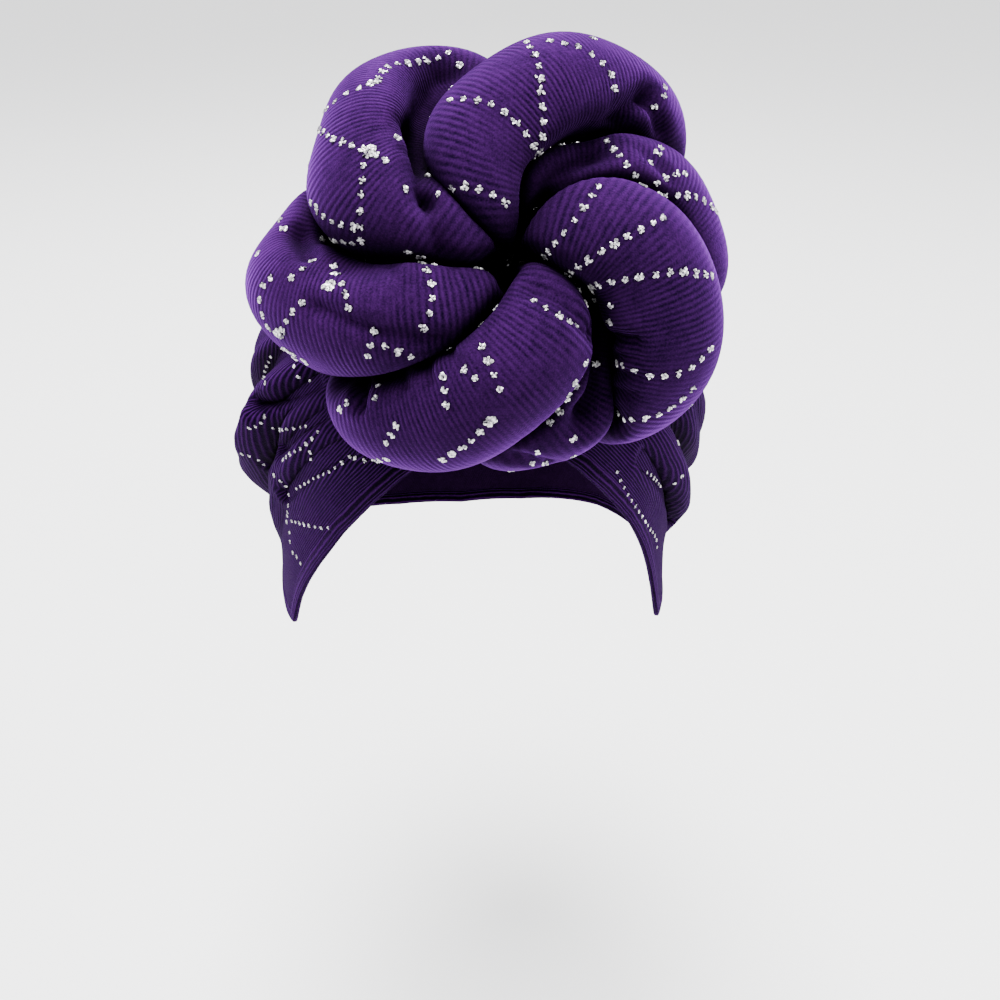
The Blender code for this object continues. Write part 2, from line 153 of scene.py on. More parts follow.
# Dotted arcs read off the photograph, as picture points that each arc passes through.
ARCS = (
    ((318, 129), (337, 140), (370, 152), (388, 162)),
    ((363, 166), (361, 197), (360, 229), (362, 245)),
    ((311, 203), (329, 220), (360, 229)),
    ((322, 239), (350, 243), (362, 245)),
    ((320, 115), (344, 95), (374, 82), (389, 66), (418, 62), (443, 57), (449, 51)),
    ((527, 42), (538, 62), (541, 90), (543, 132), (535, 147)),
    ((450, 100), (473, 100), (500, 109), (524, 131), (535, 147), (545, 160)),
    ((438, 194), (464, 186), (491, 194), (513, 208)),
    ((550, 41), (581, 48), (605, 66), (614, 82), (614, 101)),
    ((607, 141), (628, 166), (646, 189)),
    ((661, 148), (649, 165)),
    ((657, 183), (672, 175), (690, 173)),
    ((665, 195), (696, 197), (716, 211)),
    ((598, 186), (581, 212), (556, 242), (544, 258)),
    ((663, 218), (632, 234), (599, 253), (566, 276)),
    ((712, 275), (675, 272), (643, 276), (602, 284), (585, 289)),
    ((617, 363), (652, 376), (685, 371), (707, 353), (714, 341)),
    ((624, 420), (658, 415), (686, 396), (696, 383)),
    ((482, 347), (493, 372), (500, 390)),
    ((465, 370), (477, 380)),
    ((490, 422), (476, 436), (463, 447), (450, 455), (438, 462)),
    ((443, 376), (446, 404), (448, 419)),
    ((378, 386), (373, 409)),
    ((396, 426), (383, 448)),
    ((534, 301), (562, 318), (579, 327)),
    ((575, 383), (560, 411), (548, 425)),
    ((329, 286), (342, 284), (349, 312)),
    ((374, 331), (367, 361)),
    ((385, 346), (415, 359)),
    ((421, 257), (432, 288), (428, 319), (421, 333)),
    ((312, 261), (289, 280)),
    ((271, 278), (260, 292), (265, 322), (279, 334), (290, 315), (302, 303)),
    ((285, 349), (312, 366)),
    ((617, 472), (622, 484), (634, 505), (646, 523), (652, 532), (656, 540), (657, 552)),
    ((647, 472), (654, 478), (660, 486)),
    ((682, 476), (674, 484)),
    ((386, 459), (370, 461), (350, 457)),
    ((350, 457), (332, 470), (314, 479), (296, 489)),
    ((310, 452), (312, 466)),
    ((242, 454), (250, 456), (260, 461), (276, 477), (285, 485), (289, 494), (288, 510), (287, 522)),
    ((287, 522), (290, 534), (291, 549), (297, 557), (304, 568)),
    ((292, 521), (307, 525), (323, 528), (341, 526)),
    ((318, 432), (304, 446), (290, 454), (283, 460)),
    ((273, 428), (280, 430), (296, 428), (310, 426)),
    ((249, 428), (260, 424), (268, 410)),
    ((271, 357), (267, 366), (264, 376), (266, 386)),
    ((283, 349), (294, 356), (295, 374), (310, 381)),
)
SINGLE_DOTS = (
    (460, 65), (398, 138), (406, 189), (408, 252), (593, 38), (654, 107), (664, 96), (665, 87),
    (611, 306), (609, 322), (538, 452), (532, 463), (545, 463), (574, 456), (582, 464), (573, 439),
    (340, 409), (347, 403), (586, 363), (596, 364), (334, 266), (336, 274), (284, 229), (280, 220),
    (258, 253), (250, 258), (366, 261), (464, 370), (678, 443),
)
BIG_DOTS = ((370, 152), (374, 82), (490, 422), (329, 286), (279, 334))

# Creases read off the photograph. Columns: the lobe's letter, the cap or None for any lobe, half width,
# depth, and picture points along the crease.
CREASES = (
    ("A", 0.0085, 0.0095, ((448, 66), (434, 90), (424, 118), (421, 132))),
    ("A", 0.0045, 0.0075, ((421, 130), (421, 165), (426, 195))),
    ("A", 0.0030, 0.0040, ((426, 195), (434, 220), (441, 250))),
    (None, 0.0060, 0.0060, ((502, 266), (510, 276))),
    ("G", 0.0024, 0.0030, ((314, 305), (352, 322), (400, 337), (440, 341))),
    ("G", 0.0034, 0.0048, ((298, 232), (307, 253))),
    ("G", 0.0060, 0.0034, ((346, 264), (376, 266))),
    ("G", 0.0016, 0.0014, ((392, 262), (404, 284))),
    ("G", 0.0016, 0.0012, ((452, 262), (456, 282))),
    ("F", 0.0024, 0.0050, ((363, 374), (360, 404))),
    ("F", 0.0045, 0.0036, ((346, 378), (390, 373))),
    ("F", 0.0016, 0.0016, ((402, 366), (405, 386))),
    ("F", 0.0016, 0.0016, ((427, 361), (431, 382))),
    ("F", 0.0017, 0.0017, ((450, 350), (461, 368))),
    ("F", 0.0034, 0.0030, ((534, 290), (560, 300), (592, 334))),
    ("D", 0.0023, 0.0042, ((600, 336), (634, 342))),
    ("D", 0.0016, 0.0018, ((602, 354), (638, 358))),
    ("D", 0.0016, 0.0018, ((602, 370), (640, 376))),
    ("D", 0.0016, 0.0016, ((600, 386), (632, 394))),
    ("D", 0.0034, 0.0060, ((594, 396), (616, 421))),
    ("B", 0.0036, 0.0050, ((618, 118), (646, 94))),
    ("B", 0.0026, 0.0040, ((662, 130), (650, 99))),
    ("B", 0.0017, 0.0016, ((604, 120), (617, 103))),
    ("C", 0.0020, 0.0020, ((640, 150), (668, 176))),
    ("C", 0.0070, 0.0100, ((530, 225), (545, 190), (566, 162), (592, 146))),
    ("E", 0.0060, 0.0110, ((592, 292), (602, 325), (606, 360), (602, 395), (590, 415))),
    ("A", 0.0014, 0.0010, ((398, 118), (416, 121))),
    ("A", 0.0014, 0.0010, ((400, 152), (418, 150))),
    ("E", 0.0026, 0.0030, ((512, 456), (540, 462), (574, 464))),
    ("cap", 0.0036, 0.0100, ((250, 405), (276, 399), (318, 380))),
    ("cap", 0.0028, 0.0070, ((272, 462), (290, 446), (306, 430), (328, 414))),
    ("cap", 0.0032, 0.0100, ((290, 492), (300, 482), (316, 467), (334, 453), (352, 446))),
    ("cap", 0.0030, 0.0120, ((636, 456), (656, 480), (668, 503), (670, 528))),
)


def unit(vectors):
    return vectors / np.linalg.norm(vectors, axis=-1, keepdims=True)


def soft_step(share):
    share = np.clip(share, 0.0, 1.0)
    return share * share * (3.0 - 2.0 * share)


def soft_min(first, second, rounding):
    blend = np.clip(0.5 + 0.5 * (second - first) / rounding, 0.0, 1.0)
    return second + (first - second) * blend - rounding * blend * (1.0 - blend)


# The head's surface and the drape's lines over it, as in the part's source.


def head_norm(points):
    rise = (points[..., 2] + CROWN_RISE) / CROWN_RISE
    drop = np.clip(-rise * CROWN_RISE / (CAP_DEPTH - CROWN_RISE), 0.0, 2.0)
    sides = HEAD_HALF_WIDTH * (1.0 + SIDE_FLARE * drop**2)
    back = HEAD_BACK * (1.0 - NAPE_TAPER * drop**2)
    front = HEAD_FRONT * (1.0 + SIDE_FLARE * drop**2)
    length = np.where(points[..., 1] > 0.0, back, front)
    total = np.abs(points[..., 0] / sides) ** HEAD_ROUNDNESS
    total += np.abs(points[..., 1] / length) ** HEAD_ROUNDNESS
    total += np.clip(rise, 0.0, None) ** HEAD_ROUNDNESS
    return total ** (1.0 / HEAD_ROUNDNESS)


def head_slope(points):
    step = 1e-5
    rises = [head_norm(points + s) - head_norm(points - s) for s in np.eye(3) * step]
    return np.stack(rises, axis=-1) / (2 * step)


def head_distance(points):
    return (head_norm(points) - 1.0) / np.linalg.norm(head_slope(points), axis=-1)


def ray_length(start, directions, is_inside, longest):
    low, high = np.zeros(directions.shape[:-1]), np.full(directions.shape[:-1], longest)
    for _ in range(24):
        middle = 0.5 * (low + high)
        inside = is_inside(start + directions * middle[..., None])
        low, high = np.where(inside, middle, low), np.where(inside, high, middle)
    return low


def on_head(directions):
    reach = ray_length(DRAPE_CENTRE, directions, lambda p: head_norm(p) < 1.0, HEAD_SPAN)
    return DRAPE_CENTRE + directions * reach[..., None]


def on_head_at(azimuths, depths):
    turn = np.radians(azimuths)
    sideways = np.stack([np.sin(turn), -np.cos(turn), np.zeros_like(turn)], axis=-1)
    start = np.stack([np.zeros_like(depths), np.zeros_like(depths), -depths], axis=-1)
    reach = ray_length(start, sideways, lambda p: head_norm(p) < 1.0, HEAD_SPAN)
    return start + sideways * reach[..., None]


EDGE_AZIMUTHS, EDGE_DEPTHS = np.array(FACE_EDGE, float).T
RIM_AZIMUTHS, RIM_DEPTHS = np.array(BOTTOM_RIM, float).T
FACE_TOP = on_head_at(np.zeros(1), np.array([EDGE_DEPTHS[0] * CAP_DEPTH]))[0]
POLE = unit(FACE_TOP - DRAPE_CENTRE)
POLE_DOWN = unit(np.array([0.0, -POLE[2], POLE[1]]))


def drape_direction(spread, swing, side):
    spread, swing = np.radians(spread), np.radians(swing)
    sideways = np.array([1.0, 0.0, 0.0])
    across = np.cos(swing)[..., None] * POLE_DOWN + (side * np.sin(swing))[..., None] * sideways
    return np.cos(spread)[..., None] * POLE + np.sin(spread)[..., None] * across


def drape_angles(points):
    ray = unit(points - DRAPE_CENTRE)
    spread = np.degrees(np.arccos(np.clip(ray @ POLE, -1.0, 1.0)))
    return spread, np.degrees(np.arctan2(np.abs(ray[..., 0]), ray @ POLE_DOWN))


def face_edge_swing(spread):
    azimuths = np.linspace(0.02, 1.0, 60) * EDGE_AZIMUTHS[-1]
    depths = np.interp(azimuths, EDGE_AZIMUTHS, EDGE_DEPTHS) * CAP_DEPTH
    return np.interp(spread, *drape_angles(on_head_at(azimuths, depths)))


def rim_spread(swing):
    low, high = np.full(swing.shape, 60.0), np.full(swing.shape, 175.0)
    for _ in range(22):
        middle = 0.5 * (low + high)
        points = on_head(drape_direction(middle, swing, np.ones_like(swing)))
        azimuths = np.degrees(np.arctan2(np.abs(points[..., 0]), -points[..., 1]))
        above = -points[..., 2] < np.interp(azimuths, RIM_AZIMUTHS, RIM_DEPTHS) * CAP_DEPTH
        low, high = np.where(above, middle, low), np.where(above, high, middle)
    return low


RIM_SWINGS = np.linspace(40.0, 180.0, 71)
RIM_SPREADS = rim_spread(RIM_SWINGS)


def fold_height(spread, swing, side):
    share = spread / np.interp(swing, RIM_SWINGS, RIM_SPREADS)
    height = np.zeros_like(spread)
    for fold_side, centre, rise, half_width, start, end in FOLDS:
        offset = np.where(side == fold_side, swing, 360.0 - swing) - centre
        ridge = np.cos(0.5 * math.pi * np.clip(offset / half_width, -1.0, 1.0)) ** RIDGE_SHARPNESS
        along = soft_step((share - start) / FOLD_START_SHARE) * soft_step((end - share) / FOLD_END_SHARE)
        height = np.maximum(height, rise * FOLD_RISE * ridge * along)
    return height


def cap_clearance(points):
    spread, swing = drape_angles(points)
    side = np.where(points[..., 0] < 0.0, -1.0, 1.0)
    return head_distance(points) - fold_height(spread, swing, side) - CLOTH


def waves(seed, first, second, count=7):
    """A smooth wavy field over two coordinates, about -1 to 1: sines of varied direction and phase."""
    random = np.random.default_rng(seed)
    total = np.zeros(np.broadcast(first, second).shape)
    for _ in range(count):
        a, b = random.uniform(0.6, 1.6, 2) * random.choice([-1.0, 1.0], 2)
        total = total + np.sin(2.0 * math.pi * (first * a + second * b + random.uniform()))
    return total / math.sqrt(count)


# The cloth's meshes.


def grid_mesh(name, grid, uv, wrap_columns=False, cap_ends=False):
    """A mesh of quads over a grid of points, with the cloth's own coordinates in metres as its UV map."""
    if facing_in(grid, wrap_columns):
        grid, uv = grid[:, ::-1], uv[:, ::-1]
    rows, columns = grid.shape[:2]
    index = np.arange(rows * columns).reshape(rows, columns)
    if wrap_columns:
        index = np.concatenate([index, index[:, :1]], axis=1)
    faces = np.stack([index[:-1, :-1], index[:-1, 1:], index[1:, 1:], index[1:, :-1]], axis=-1).reshape(-1, 4)
    corners = [faces.reshape(-1)]
    sizes = [4] * len(faces)
    if cap_ends:
        corners += [index[0, :columns][::-1], index[-1, :columns]]
        sizes += [columns, columns]
    loops = np.concatenate(corners)
    mesh = bpy.data.meshes.new(name)
    mesh.vertices.add(rows * columns)
    mesh.vertices.foreach_set("co", grid.reshape(-1).astype(np.float32))
    mesh.loops.add(len(loops))
    mesh.loops.foreach_set("vertex_index", loops.astype(np.int32))
    mesh.polygons.add(len(sizes))
    starts = np.concatenate([[0], np.cumsum(sizes)[:-1]])
    mesh.polygons.foreach_set("loop_start", starts.astype(np.int32))
    layer = mesh.uv_layers.new(name="cloth")
    wide = np.concatenate([uv, uv[:, :1]], axis=1) if wrap_columns else uv
    if wrap_columns:
        wide[:, -1, 1] = uv[:, 0, 1] + (uv[:, -1, 1] - uv[:, 0, 1]) * columns / (columns - 1)
    quads = np.stack([wide[:-1, :-1], wide[:-1, 1:], wide[1:, 1:], wide[1:, :-1]], axis=2).reshape(-1, 2)
    flat = np.concatenate([quads, uv[0][::-1], uv[-1]]) if cap_ends else quads
    layer.data.foreach_set("uv", flat.reshape(-1).astype(np.float32))
    mesh.update(calc_edges=True)
    mesh.validate()
    mesh.shade_smooth()
    made = bpy.data.objects.new(name, mesh)
    bpy.context.scene.collection.objects.link(made)
    return made


def facing_in(grid, is_tube):
    """Whether a grid's quads face in: towards the tube's own line, or towards the inside of the cap."""
    middle = grid.mean(axis=1, keepdims=True) if is_tube else DRAPE_CENTRE
    return np.sum(grid_normals(grid) * (grid - middle)) < 0.0


def grid_normals(grid):
    """The way a grid of points faces, by the differences of its neighbours."""
    along = np.gradient(grid, axis=1)
    across = np.gradient(grid, axis=0)
    return unit(np.cross(along, across) + 1e-15)


def outward_normals(grid, is_tube):
    return grid_normals(grid) * (-1.0 if facing_in(grid, is_tube) else 1.0)


def cap_grid(columns, rows):
    """The cap's cloth with its folds, small wrinkles and creases. Returns points and UVs."""
    across = np.linspace(-1.0, 1.0, columns + 1)[:, None]
    side = np.where(across < 0.0, -1.0, 1.0) * np.ones((1, rows))
    share = (np.arange(0, rows) / (rows - 1))[None, :] * np.ones_like(across)
    share = FIRST_ROW_SHARE + (1.0 - FIRST_ROW_SHARE) * share
    corner = drape_angles(on_head_at(RIM_AZIMUTHS[:1], RIM_DEPTHS[:1] * CAP_DEPTH))[0][0]
    away = 1.0 - np.abs(across)
    edge = face_edge_swing(share * corner) - EDGE_LEAN * side * soft_step((share - 0.45) / 0.5)
    swing = edge + away * (180.0 - edge)
    shorter = 1.0 - SHORTER_POINT * (side < 0.0) * soft_step((0.25 - away) / 0.25)
    spread = share * rim_spread(swing[:, -1])[:, None] * shorter
    points = on_head(drape_direction(spread, swing, side))
    height = fold_height(spread, swing, side)
    from_face = soft_step((swing - edge - 16.0) / 22.0)
    free = from_face * soft_step((share - 0.22) / 0.2) * soft_step((0.95 - share) / 0.2)
    wrinkles = waves(5, side * swing / 9.0, spread / 75.0) * WRINKLE_HEIGHT
    wrinkles = wrinkles + waves(9, side * swing / 4.5, spread / 60.0) * FINE_WRINKLE_HEIGHT
    height = np.clip(height + wrinkles * free, 0.0, None)
    flat_points, away_from_head = points, unit(head_slope(points))
    points = flat_points + away_from_head * height[..., None]
    first_try = grid_mesh("first_try", points, np.zeros((*points.shape[:2], 2)))
    pressed = crease_depths(points, Cloth({"cap": first_try}), lambda lobe: 1.0 if lobe == "cap" else None)
    bpy.data.objects.remove(first_try, do_unlink=True)
    points = flat_points + away_from_head * np.clip(height - pressed, 0.0, None)[..., None]
    step = np.linalg.norm(np.diff(flat_points, axis=0), axis=-1)
    before = np.concatenate([np.zeros((1, rows)), np.cumsum(step, axis=0)])
    from_edge = np.minimum(before, before[-1] - before)
    along = np.linalg.norm(np.diff(points, axis=1), axis=-1)
    along_ribs = np.concatenate([np.zeros((columns + 1, 1)), np.cumsum(along, axis=1)], axis=1)
    return points, np.stack([from_edge * side, along_ribs], axis=-1)


def round_value(values, place, growth=0.0):
    """A smooth value from a closed table at a place along it, growth being what one whole round adds."""
    count = len(values)
    base = np.floor(place).astype(int)
    share = place - base
    near = [values[(base + k) % count] + growth * ((base + k) // count) for k in (-1, 0, 1, 2)]
    slope_in, slope_out = 0.5 * (near[2] - near[0]), 0.5 * (near[3] - near[1])
    square, cube = share**2, share**3
    return (
        (2 * cube - 3 * square + 1) * near[1]
        + (cube - 2 * square + share) * slope_in
        + (3 * square - 2 * cube) * near[2]
        + (cube - square) * slope_out
    )


def roll_line(place):
    """The rolls' centre line, the ways out from it and its fullness: the part's, with its outline fitted."""
    table = np.array([LOBES[(2 * step) % len(LOBES)] for step in range(len(LOBES))])
    turns = np.array([(2 * step) // len(LOBES) for step in range(len(LOBES))])
    angle = np.radians(round_value(table[:, 0] - 360.0 * turns, place, growth=-720.0))
    reach = round_value(table[:, 1], place) * KNOT_REACH
    crest = round_value(table[:, 2], place + 0.25)
    full = round_value(table[:, 3], place + 0.25) * ROLL_RADIUS
    full = full * (1.0 - EYE_PINCH * (0.5 - 0.5 * np.cos(2.0 * math.pi * place)) ** 2)
    sweep = round_value(table[:, 4], place + 0.25) * TOP_SWEEP
    phase = 2.0 * math.pi * place
    angle = angle - sweep * (np.cos(phase) - 1.0)
    from_axis = KNOT_EYE + 0.5 * (reach - ROLL_RADIUS - KNOT_EYE) * (1.0 + np.cos(phase))
    degrees, growth, turn = np.array(KNOT_OUTLINE, float).T
    where = (np.degrees(angle) - degrees[0]) % 360.0 + degrees[0]
    outer = soft_step((from_axis - KNOT_EYE) / OUTLINE_BLEND)
    from_axis = from_axis * (1.0 + outer * np.interp(where, degrees, growth))
    angle = angle + outer * np.radians(np.interp(where, degrees, turn))
    lift = -np.sin(phase) * TWIST_DEPTH
    dish = KNOT_DISH * (from_axis / (KNOT_REACH - ROLL_RADIUS)) ** 2
    lift = np.where(lift > 0.0, lift * crest, lift) - dish
    toward = np.array([0.0, -math.cos(KNOT_SEAT), math.sin(KNOT_SEAT)])
    out = np.array([0.0, -math.cos(KNOT_TILT), math.sin(KNOT_TILT)])
    up = np.array([0.0, math.sin(KNOT_TILT), math.cos(KNOT_TILT)])
    start = np.array([0.0, 0.0, -CROWN_RISE])
    to_head = ray_length(start, toward[None, :], lambda p: head_norm(p) < 1.0, HEAD_SPAN)[0]
    centre = start + toward * (to_head + SEATING_LIFT + KNOT_LIFT) + np.array([KNOT_SIDE, 0.0, 0.0])
    in_plane = np.cos(angle)[:, None] * np.array([1.0, 0.0, 0.0]) + np.sin(angle)[:, None] * up
    points = centre + in_plane * from_axis[:, None] + out * lift[:, None]
    sunk = KNOT_SEATING * ROLL_RADIUS - cap_clearance(points)
    points = points + out * np.clip(sunk, 0.0, None)[:, None]
    for _ in range(LINE_SMOOTHINGS):
        points = 0.5 * points + 0.25 * (np.roll(points, 1, 0) + np.roll(points, -1, 0))
    away = in_plane * np.cos(phase)[:, None] - out * np.sin(phase)[:, None]
    return points, away, full


def roll_rings():
    """Rings round the rolls' line, pressed flat where two turns meet. Returns points, centres and rays."""
    sections, sides = LOBE_SECTIONS * len(LOBES), ROLL_SIDES
    points, away, full = roll_line(np.arange(sections) / sections * len(LOBES))
    tangent = unit(np.roll(points, -1, axis=0) - np.roll(points, 1, axis=0))
    first = unit(away - tangent * np.sum(away * tangent, axis=1, keepdims=True))
    second = np.cross(tangent, first)
    turn = 2.0 * math.pi * np.arange(sides) / sides
    rays = np.cos(turn)[None, :, None] * first[:, None] + np.sin(turn)[None, :, None] * second[:, None]
    limit = np.ones((sections, sides))
    for i in range(sections):
        to_others = points[::2] - points[i]
        apart = np.linalg.norm(to_others, axis=1)
        far = soft_step(apart / ROLL_RADIUS)
        room = apart * (apart * full[i] / (full[i] + full[::2]) - 0.5 * CONTACT_GAP * far)
        room = room * (BEND_SHARE + (1.0 - BEND_SHARE) * far)
        facing = rays[i] @ to_others.T
        limit[i] = np.where(facing > 1e-6, room[None, :] / np.maximum(facing, 1e-6), 1.0).min(axis=1)
    starts = points[:, None, :] * np.ones_like(rays)
    to_cap = ray_length(starts, rays, lambda p: cap_clearance(p) > CONTACT_GAP, 2.0 * ROLL_RADIUS)
    limit = np.minimum(limit, to_cap)
    radius = soft_min(limit, full[:, None] * np.ones_like(limit), CREASE_ROUNDING)
    place = np.arange(sections) / LOBE_SECTIONS
    radius = radius + lumps(place, turn) - puckers(place, turn, points, rays)
    return starts + rays * np.clip(radius, 0.002, None)[..., None], points, rays


def lumps(place, turn):
    """How far the stuffing swells and sags the rolls' cloth, round after round of the closed line."""
    random = np.random.default_rng(12)
    total = np.zeros((len(place), len(turn)))
    for _ in range(LUMP_WAVES):
        along, around = random.integers(8, 34), random.integers(-2, 3)
        swing = 2.0 * math.pi * along * place[:, None] / len(LOBES) + around * turn[None, :]
        total += np.sin(swing + random.uniform(0.0, 2.0 * math.pi)) * random.uniform(0.5, 1.0)
    return total * LUMP_HEIGHT / math.sqrt(LUMP_WAVES)


def puckers(place, turn, points, rays):
    """Short grooves across the rolls on the inner side of each bend, where the cloth is crowded together."""
    random = np.random.default_rng(31)
    bend = np.roll(points, -8, axis=0) + np.roll(points, 8, axis=0) - 2.0 * points
    inner = np.einsum("ik,ijk->ij", unit(bend), rays)
    tight = np.clip(np.linalg.norm(bend, axis=1) / np.linalg.norm(bend, axis=1).max(), 0.0, 1.0)
    total = np.zeros((len(place), len(turn)))
    for _ in range(len(LOBES) * PUCKERS_PER_LOBE):
        middle, lean = random.uniform(0.0, len(LOBES)), random.uniform(-0.03, 0.03)
        width, depth = random.uniform(0.013, 0.024), random.uniform(0.3, 1.0) * PUCKER_DEPTH
        start = random.uniform(-0.1, 0.45)
        apart = (place[:, None] - middle + lean * np.sin(turn)[None, :] + 3.5) % len(LOBES) - 3.5
        groove = np.exp(-((apart / width) ** 2)) - 0.35 * np.exp(-((apart / (2.2 * width)) ** 2))
        total += depth * groove * soft_step((inner - start) / 0.5) * tight[:, None]
    return total


def crease_depths(points, cloth, near_lobe):
    """How deep the photograph's creases press into cloth points. near_lobe gives each crease its share."""
    total = np.zeros(points.shape[:2])
    for lobe, half_width, depth, picture in CREASES:
        share = near_lobe(lobe)
        hits = [cloth.at_picture(x, y) for x, y in curve_through(picture, 24)]
        line = np.array([hit[1] for hit in hits if hit is not None])
        if share is None or not len(line):
            continue
        distance = np.full(points.shape[:2], 1.0)
        for point in line:
            distance = np.minimum(distance, np.linalg.norm(points - point, axis=-1))
        swell = 0.22 * np.exp(-((distance / (2.4 * half_width)) ** 2))
        total += depth * (np.exp(-((distance / half_width) ** 2)) - swell) * share
    return total


def near_roll_lobe(lobe):
    """How far each section of the rolls belongs to a lobe."""
    letters_along_roll = LOBE_LETTERS[::2] + LOBE_LETTERS[1::2]
    place = np.arange(LOBE_SECTIONS * len(LOBES)) / LOBE_SECTIONS
    if lobe == "cap":
        return None
    if lobe is None:
        return np.ones((len(place), 1))
    apart = np.abs((place - letters_along_roll.index(lobe) + 3.5) % len(LOBES) - 3.5)
    return soft_step((0.60 - apart) / 0.12)[:, None]


def material(name, base, build):
    made = bpy.data.materials.new(name)
    made.use_nodes = True
    shader = made.node_tree.nodes["Principled BSDF"]
    shader.inputs["Base Color"].default_value = (*base, 1.0)
    build(made.node_tree, shader)
    return made


def node(tree, kind, inputs=None, **settings):
    made = tree.nodes.new(kind)
    for key, value in settings.items():
        setattr(made, key, value)
    for key, value in (inputs or {}).items():
        if isinstance(value, bpy.types.NodeSocket):
            tree.links.new(value, made.inputs[key])
        else:
            made.inputs[key].default_value = value
    return made


def maths(tree, operation, *values):
    made = tree.nodes.new("ShaderNodeMath")
    made.operation = operation
    for slot, value in enumerate(values):
        if isinstance(value, bpy.types.NodeSocket):
            tree.links.new(value, made.inputs[slot])
        else:
            made.inputs[slot].default_value = value
    return made.outputs[0]


def set_stops(ramp, *stops):
    for element, (position, colour) in zip(ramp.color_ramp.elements, stops):
        element.position = position
        element.color = (*colour, 1.0)


def noise(tree, place, scale, detail, roughness=0.5):
    inputs = {"Vector": place, "Scale": scale, "Detail": detail, "Roughness": roughness}
    return node(tree, "ShaderNodeTexNoise", inputs).outputs["Fac"]


def velvet(dark, light, rib_pitch, rib_depth, rib_tone, sheen, crushing=0.75, thinness=1.0):
    """Ribbed stretch velvet: ribs along one cloth coordinate, a fine pile, patches where it lies over, and
    painted light and shade.
    """

    def build(tree, shader):
        links = tree.links
        uv = node(tree, "ShaderNodeUVMap", uv_map="cloth").outputs["UV"]
        place = node(tree, "ShaderNodeTexCoord").outputs["Object"]
        parts = node(tree, "ShaderNodeSeparateXYZ", {0: uv})
        pile = noise(tree, place, 1700.0, 2.0, 0.7)
        patches = noise(tree, place, 38.0, 4.0, 0.6)
        blotch = noise(tree, place, 300.0, 3.0, 0.6)
        waver = maths(tree, "SUBTRACT", noise(tree, place, 120.0, 2.0), 0.5)
        shifted = maths(tree, "ADD", parts.outputs["X"], maths(tree, "MULTIPLY", waver, rib_pitch * 0.45))
        wave = maths(tree, "SINE", maths(tree, "MULTIPLY", shifted, 2.0 * math.pi / rib_pitch))
        rib = maths(tree, "POWER", maths(tree, "MULTIPLY_ADD", wave, 0.5, 0.5), thinness)
        crushed = noise(tree, place, 70.0, 2.0)
        upright = maths(tree, "MULTIPLY_ADD", crushed, 3.2 * crushing, 1.0 - 2.1 * crushing)
        upright.node.use_clamp = True
        # The ribs' dark and light lines in the colour: partly the dark knit showing between the ribs, partly
        # painted shade in their grooves.
        shown = maths(tree, "MULTIPLY", maths(tree, "SUBTRACT", rib, 0.5), upright)
        tone = maths(tree, "MULTIPLY_ADD", shown, rib_tone, 0.5)
        for source, share in ((pile, 1.1), (patches, 0.60), (blotch, 0.55)):
            tone = maths(tree, "MULTIPLY_ADD", maths(tree, "SUBTRACT", source, 0.5), share, tone)
        ramp = node(tree, "ShaderNodeValToRGB", {"Fac": tone})
        set_stops(ramp, (0.12, dark), (0.88, light))
        # Painted shade and light: ambient occlusion darkens the colour in creases and recesses, and the
        # colour is painted lighter where the cloth faces up and darker where it faces down.
        painted_shade_occlusion = node(tree, "ShaderNodeAmbientOcclusion", {"Distance": 0.085}, samples=8)
        normal = node(tree, "ShaderNodeNewGeometry").outputs["Normal"]
        facing = node(tree, "ShaderNodeSeparateXYZ", {0: normal})
        painted_top_light = maths(tree, "MULTIPLY_ADD", maths(tree, "MAXIMUM", facing.outputs["Z"], -0.3), 0.55, 0.68)
        # deep is the painted shade in creases and recesses, from the occlusion.
        deep = maths(tree, "POWER", painted_shade_occlusion.outputs["AO"], 2.1)
        lit = maths(tree, "MULTIPLY", deep, painted_top_light)
        shade = node(tree, "ShaderNodeVectorMath", {0: ramp.outputs["Color"]}, operation="SCALE")
        links.new(lit, shade.inputs["Scale"])
        links.new(shade.outputs[0], shader.inputs["Base Color"])
        # The sheen is darkened by the same painted shade in creases and recesses.
        links.new(maths(tree, "MULTIPLY", deep, sheen), shader.inputs["Sheen Weight"])
        height = maths(tree, "MULTIPLY_ADD", pile, 0.9, shown)
        height = maths(tree, "MULTIPLY_ADD", blotch, 0.7, height)
        bump = node(tree, "ShaderNodeBump", {"Strength": 0.8, "Distance": rib_depth, "Height": height})
        links.new(bump.outputs["Normal"], shader.inputs["Normal"])
        shader.inputs["Roughness"].default_value = 0.85
        shader.inputs["Specular IOR Level"].default_value = 0.01
        shader.inputs["Sheen Roughness"].default_value = 0.40
        shader.inputs["Sheen Tint"].default_value = (0.30, 0.07, 0.60, 1.0)

    return build


def glitter(tree, shader):
    """Silver specks, dark and bright."""
    place = node(tree, "ShaderNodeTexCoord").outputs["Object"]
    specks = noise(tree, place, 1500.0, 2.0)
    ramp = node(tree, "ShaderNodeValToRGB", {"Fac": specks})
    set_stops(ramp, (0.38, (0.16, 0.15, 0.18)), (0.62, (0.90, 0.89, 0.88)))
    tree.links.new(ramp.outputs["Color"], shader.inputs["Base Color"])
    bump = node(tree, "ShaderNodeBump", {"Strength": 0.6, "Distance": 0.0002, "Height": specks})
    tree.links.new(bump.outputs["Normal"], shader.inputs["Normal"])
    shader.inputs["Metallic"].default_value = 0.8
    shader.inputs["Roughness"].default_value = 0.38


def plain_floor(tree, shader):
    shader.inputs["Roughness"].default_value = 0.9


# The glitter: each dot is a small crowd of chips glued on the cloth.


